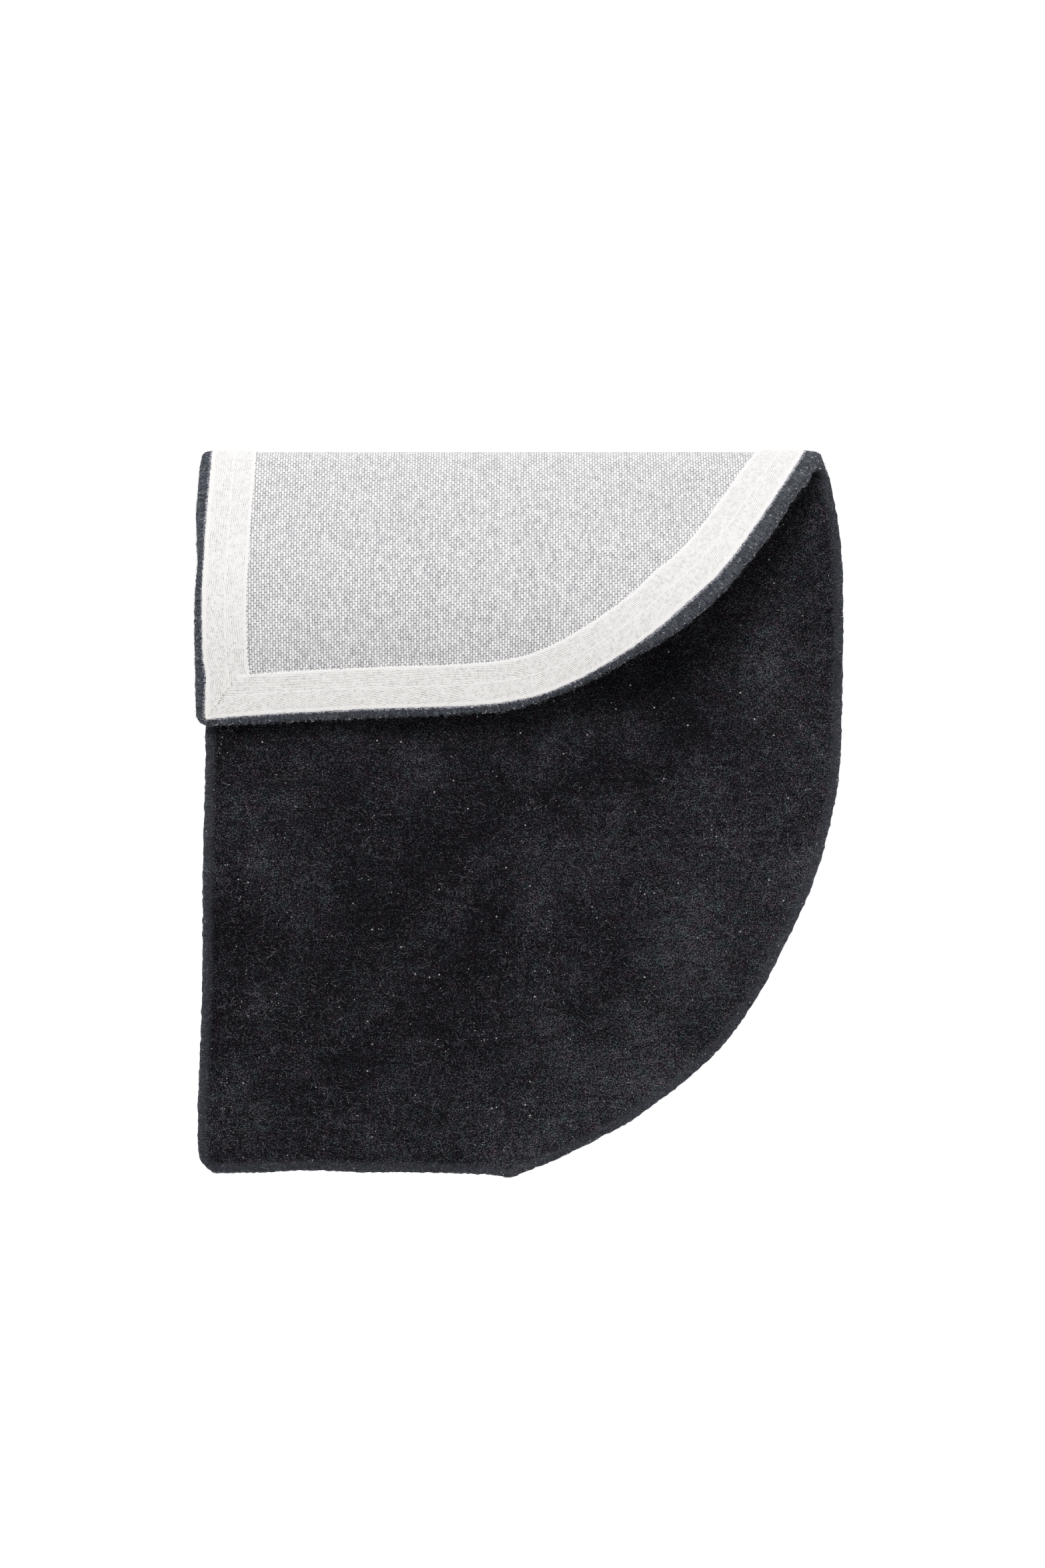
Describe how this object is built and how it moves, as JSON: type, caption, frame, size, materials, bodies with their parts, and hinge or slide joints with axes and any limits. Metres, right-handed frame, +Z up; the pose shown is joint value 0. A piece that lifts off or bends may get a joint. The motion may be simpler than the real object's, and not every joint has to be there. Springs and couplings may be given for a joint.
{
  "type": "doormat",
  "caption": "D-shaped tufted wool doormat, canvas back bound with herringbone tape, lying pile up with its far end folded over.",
  "frame": {"origin": "centre of the bounding box, at the level of the floor that the mat lies on", "axes": "+X from the straight side to the rounded side, +Y from the lying end to the fold, +Z up"},
  "size_m": [0.5, 0.563, 0.0825],
  "materials": {
    "wool_pile": "dense black cut wool pile, matt, with a few pale fibres",
    "canvas": "coarse plain-weave off-white cotton canvas, matt",
    "binding_tape": "ivory cotton herringbone tape, matt"
  },
  "bodies": {
    "root": {"pile": "wool_pile", "backing_canvas": "canvas", "tape_side": "binding_tape", "tape_rim": "binding_tape"}
  },
  "joints": []
}
